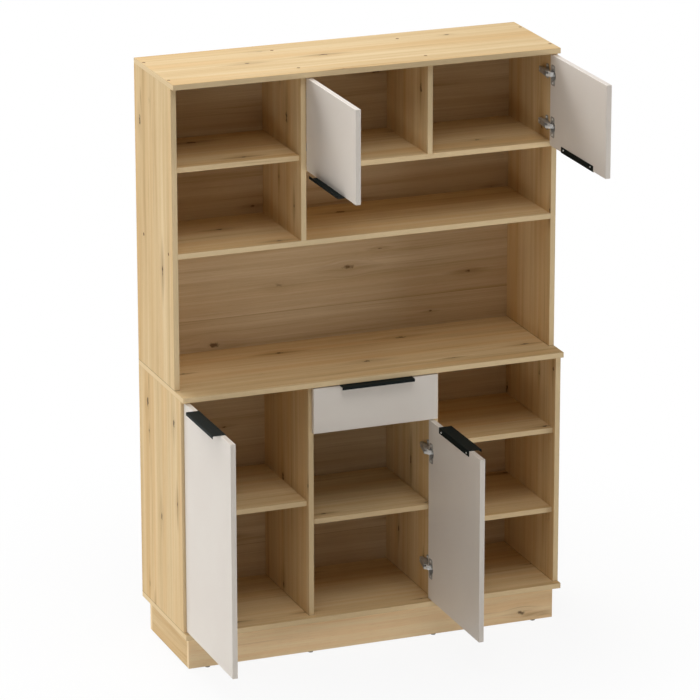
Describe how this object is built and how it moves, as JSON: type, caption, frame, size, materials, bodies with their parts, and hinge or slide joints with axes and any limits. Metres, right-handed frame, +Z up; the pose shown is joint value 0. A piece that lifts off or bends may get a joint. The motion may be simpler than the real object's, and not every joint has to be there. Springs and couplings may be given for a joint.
{
  "type": "kitchen cabinet",
  "caption": "Tall freestanding kitchen cabinet: base unit on a plinth with an open hutch above, doors on concealed hinges, a drawer on telescopic runners and shelves on pins.",
  "frame": {"origin": "on the floor, at the middle of the width, in the plane of the rear that stands against a wall", "axes": "+X to the right for someone who faces the fronts, +Y to the rear, +Z up"},
  "size_m": [1.2306, 0.7822, 1.774],
  "materials": {
    "oak_board": "satin oak decor on board",
    "oak_sheet": "satin oak decor on thin sheet",
    "front_laminate": "matt warm grey laminate on board",
    "drawer_board": "matt white laminate on board",
    "black_metal": "matt black powder coat",
    "hinge_steel": "nickel plated",
    "link_steel": "nickel plated",
    "runner_steel": "zinc plated",
    "pin_steel": "nickel plated",
    "glide_plastic": "matt",
    "cap_brown": "matt brown"
  },
  "bodies": {
    "cabinet": {"base_back": "oak_sheet", "base_bottom": "oak_board", "base_hinge_arms": "hinge_steel", "base_hinge_plates": "hinge_steel", "base_left_divider": "oak_board", "base_left_shelf": "oak_board", "base_left_side": "oak_board", "base_middle_shelf": "oak_board", "base_right_divider": "oak_board", "base_right_lower_shelf": "oak_board", "base_right_side": "oak_board", "base_right_upper_shelf": "oak_board", "floor_glides": "glide_plastic", "hutch_back": "oak_sheet", "hutch_hinge_arms": "hinge_steel", "hutch_hinge_plates": "hinge_steel", "hutch_left_divider": "oak_board", "hutch_left_shelf": "oak_board", "hutch_left_side": "oak_board", "hutch_long_shelf": "oak_board", "hutch_middle_shelf": "oak_board", "hutch_right_divider": "oak_board", "hutch_right_side": "oak_board", "hutch_top": "oak_board", "plinth_front": "oak_board", "plinth_left": "oak_board", "plinth_rear": "oak_board", "plinth_right": "oak_board", "runner_fixed_members": "runner_steel", "screw_caps": "cap_brown", "shelf_pins": "pin_steel", "worktop": "oak_board"},
    "base_left_door": {"base_left_door": "front_laminate", "base_left_door_pull": "black_metal", "base_left_door_hinge_cups": "hinge_steel"},
    "base_left_door_outer_links": {"base_left_door_outer_links": "link_steel"},
    "base_left_door_inner_links": {"base_left_door_inner_links": "link_steel"},
    "base_middle_door": {"base_middle_door": "front_laminate", "base_middle_door_pull": "black_metal", "base_middle_door_hinge_cups": "hinge_steel"},
    "base_middle_door_outer_links": {"base_middle_door_outer_links": "link_steel"},
    "base_middle_door_inner_links": {"base_middle_door_inner_links": "link_steel"},
    "hutch_left_door": {"hutch_left_door": "front_laminate", "hutch_left_door_pull": "black_metal", "hutch_left_door_hinge_cups": "hinge_steel"},
    "hutch_left_door_outer_links": {"hutch_left_door_outer_links": "link_steel"},
    "hutch_left_door_inner_links": {"hutch_left_door_inner_links": "link_steel"},
    "hutch_right_door": {"hutch_right_door": "front_laminate", "hutch_right_door_pull": "black_metal", "hutch_right_door_hinge_cups": "hinge_steel"},
    "hutch_right_door_outer_links": {"hutch_right_door_outer_links": "link_steel"},
    "hutch_right_door_inner_links": {"hutch_right_door_inner_links": "link_steel"},
    "drawer": {"drawer_back": "drawer_board", "drawer_bottom": "drawer_board", "drawer_front": "front_laminate", "drawer_left_side": "drawer_board", "drawer_pull": "black_metal", "drawer_right_side": "drawer_board", "runner_drawer_members": "runner_steel"},
    "runner_middles": {"runner_middle_members": "runner_steel"}
  },
  "joints": [
    {"name": "base_left_outer_link_pivot", "type": "hinge", "parent": "cabinet", "child": "base_left_door_outer_links", "pos_m": [-0.566, -0.3775, 0.47975], "axis": [0, 0, 1], "range_deg": [-11.8, 0.75]},
    {"name": "base_left_door_swing", "type": "hinge", "parent": "base_left_door_outer_links", "child": "base_left_door", "pos_m": [-0.58395, -0.39368, 0.47975], "axis": [0, 0, 1], "range_deg": [-5.65, 101.7]},
    {"name": "base_left_inner_link_pivot", "type": "hinge", "parent": "cabinet", "child": "base_left_door_inner_links", "pos_m": [-0.5717, -0.3806, 0.47975], "axis": [0, 0, 1], "range_deg": [-45.2, 2.7]},
    {"name": "base_middle_outer_link_pivot", "type": "hinge", "parent": "cabinet", "child": "base_middle_door_outer_links", "pos_m": [0.16433, -0.3775, 0.4075], "axis": [0, 0, -1], "range_deg": [-11.8, 0.75]},
    {"name": "base_middle_door_swing", "type": "hinge", "parent": "base_middle_door_outer_links", "child": "base_middle_door", "pos_m": [0.18229, -0.39368, 0.4075], "axis": [0, 0, -1], "range_deg": [-5.65, 101.7]},
    {"name": "base_middle_inner_link_pivot", "type": "hinge", "parent": "cabinet", "child": "base_middle_door_inner_links", "pos_m": [0.17003, -0.3806, 0.4075], "axis": [0, 0, -1], "range_deg": [-45.2, 2.7]},
    {"name": "hutch_left_outer_link_pivot", "type": "hinge", "parent": "cabinet", "child": "hutch_left_door_outer_links", "pos_m": [-0.16433, -0.3255, 1.616], "axis": [0, 0, 1], "range_deg": [-11.8, 0.75]},
    {"name": "hutch_left_door_swing", "type": "hinge", "parent": "hutch_left_door_outer_links", "child": "hutch_left_door", "pos_m": [-0.18229, -0.34168, 1.616], "axis": [0, 0, 1], "range_deg": [-5.65, 101.7]},
    {"name": "hutch_left_inner_link_pivot", "type": "hinge", "parent": "cabinet", "child": "hutch_left_door_inner_links", "pos_m": [-0.17003, -0.3286, 1.616], "axis": [0, 0, 1], "range_deg": [-45.2, 2.7]},
    {"name": "hutch_right_outer_link_pivot", "type": "hinge", "parent": "cabinet", "child": "hutch_right_door_outer_links", "pos_m": [0.566, -0.3255, 1.616], "axis": [0, 0, -1], "range_deg": [-11.8, 0.75]},
    {"name": "hutch_right_door_swing", "type": "hinge", "parent": "hutch_right_door_outer_links", "child": "hutch_right_door", "pos_m": [0.58395, -0.34168, 1.616], "axis": [0, 0, -1], "range_deg": [-5.65, 101.7]},
    {"name": "hutch_right_inner_link_pivot", "type": "hinge", "parent": "cabinet", "child": "hutch_right_door_inner_links", "pos_m": [0.5717, -0.3286, 1.616], "axis": [0, 0, -1], "range_deg": [-45.2, 2.7]},
    {"name": "drawer_slide", "type": "slide", "parent": "cabinet", "child": "drawer", "axis": [0, -1, 0], "range_m": [0, 0.3]},
    {"name": "runner_slide", "type": "slide", "parent": "cabinet", "child": "runner_middles", "axis": [0, -1, 0], "range_m": [0, 0.151]}
  ],
  "couplings": [
    {"joint": "base_left_outer_link_pivot", "follows": "base_left_door_swing", "ratio": -0.11504},
    {"joint": "base_left_inner_link_pivot", "follows": "base_left_door_swing", "ratio": -0.44248},
    {"joint": "base_middle_outer_link_pivot", "follows": "base_middle_door_swing", "ratio": -0.11504},
    {"joint": "base_middle_inner_link_pivot", "follows": "base_middle_door_swing", "ratio": -0.44248},
    {"joint": "hutch_left_outer_link_pivot", "follows": "hutch_left_door_swing", "ratio": -0.11504},
    {"joint": "hutch_left_inner_link_pivot", "follows": "hutch_left_door_swing", "ratio": -0.44248},
    {"joint": "hutch_right_outer_link_pivot", "follows": "hutch_right_door_swing", "ratio": -0.11504},
    {"joint": "hutch_right_inner_link_pivot", "follows": "hutch_right_door_swing", "ratio": -0.44248},
    {"joint": "runner_slide", "follows": "drawer_slide", "ratio": 0.5}
  ]
}
